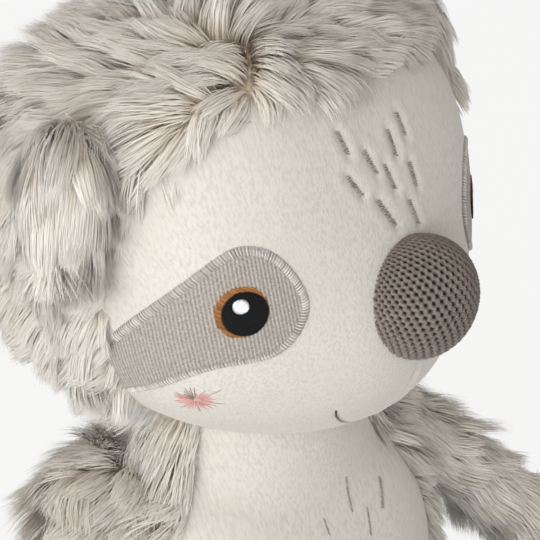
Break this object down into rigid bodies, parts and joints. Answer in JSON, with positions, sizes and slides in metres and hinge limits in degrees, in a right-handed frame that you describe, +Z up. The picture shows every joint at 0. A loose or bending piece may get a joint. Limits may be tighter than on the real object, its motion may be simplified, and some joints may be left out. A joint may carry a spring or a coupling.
{
  "type": "stuffed animal",
  "caption": "Seated plush sloth with long fur, a short-pile face and belly, knitted nose, and a head that turns and nods, arms that lift and legs that splay.",
  "frame": {"origin": "centre of the flat seat that the toy sits on", "axes": "+Z up, -Y the way the belly and legs point, +X the toy's left"},
  "size_m": [0.3432, 0.24, 0.3227],
  "materials": {
    "long_fur": "long matte pile",
    "minky": "short velvet pile, matte",
    "nose_knit": "chunky matte knit",
    "patch_jersey": "fine ribbed jersey, matte",
    "eye_embroidery": "satin-stitch thread, slight sheen",
    "claw_fabric": "smooth brushed jersey, matte",
    "stuffing": "loose polyester fibre, matte",
    "bean_cloth": "plain woven cotton, matte"
  },
  "bodies": {
    "torso": {"body_cover": "long_fur", "belly_panel": "minky", "body_stuffing": "stuffing", "bean_pouch": "bean_cloth"},
    "neck": {"neck_stuffing": "stuffing"},
    "head": {"head_cover": "long_fur", "face_panel": "minky", "head_stuffing": "stuffing", "nose_cover": "nose_knit", "nose_stuffing": "stuffing", "eye_patch_left": "patch_jersey", "eye_left": "eye_embroidery", "ear_left": "long_fur", "eye_patch_right": "patch_jersey", "eye_right": "eye_embroidery", "ear_right": "long_fur"},
    "arm_left": {"arm_cover_left": "long_fur", "arm_stuffing_left": "stuffing", "arm_claw_left_1": "claw_fabric", "arm_claw_left_2": "claw_fabric", "arm_claw_left_3": "claw_fabric"},
    "arm_right": {"arm_cover_right": "long_fur", "arm_stuffing_right": "stuffing", "arm_claw_right_1": "claw_fabric", "arm_claw_right_2": "claw_fabric", "arm_claw_right_3": "claw_fabric"},
    "leg_left": {"leg_cover_left": "long_fur", "leg_stuffing_left": "stuffing", "leg_claw_left_1": "claw_fabric", "leg_claw_left_2": "claw_fabric", "leg_claw_left_3": "claw_fabric"},
    "leg_right": {"leg_cover_right": "long_fur", "leg_stuffing_right": "stuffing", "leg_claw_right_1": "claw_fabric", "leg_claw_right_2": "claw_fabric", "leg_claw_right_3": "claw_fabric"}
  },
  "joints": [
    {"name": "head_turn", "type": "hinge", "parent": "torso", "child": "neck", "pos_m": [0, -0.004, 0.16], "axis": [0, 0, 1], "range_deg": [-25, 25], "stiffness_Nm_per_rad": 0.3},
    {"name": "head_nod", "type": "hinge", "parent": "neck", "child": "head", "pos_m": [0, -0.004, 0.16], "axis": [1, 0, 0], "range_deg": [-8, 12], "stiffness_Nm_per_rad": 1},
    {"name": "arm_lift_left", "type": "hinge", "parent": "torso", "child": "arm_left", "pos_m": [0.068, 0.004, 0.124], "axis": [-0.4384, -0.8988, 0], "range_deg": [0, 50]},
    {"name": "arm_lift_right", "type": "hinge", "parent": "torso", "child": "arm_right", "pos_m": [-0.068, 0.004, 0.124], "axis": [-0.4384, 0.8988, 0], "range_deg": [0, 50]},
    {"name": "leg_splay_left", "type": "hinge", "parent": "torso", "child": "leg_left", "pos_m": [0.052, -0.032, 0.029], "axis": [0, 0, 1], "range_deg": [-6, 32]},
    {"name": "leg_splay_right", "type": "hinge", "parent": "torso", "child": "leg_right", "pos_m": [-0.052, -0.032, 0.029], "axis": [0, 0, -1], "range_deg": [-6, 32]}
  ]
}
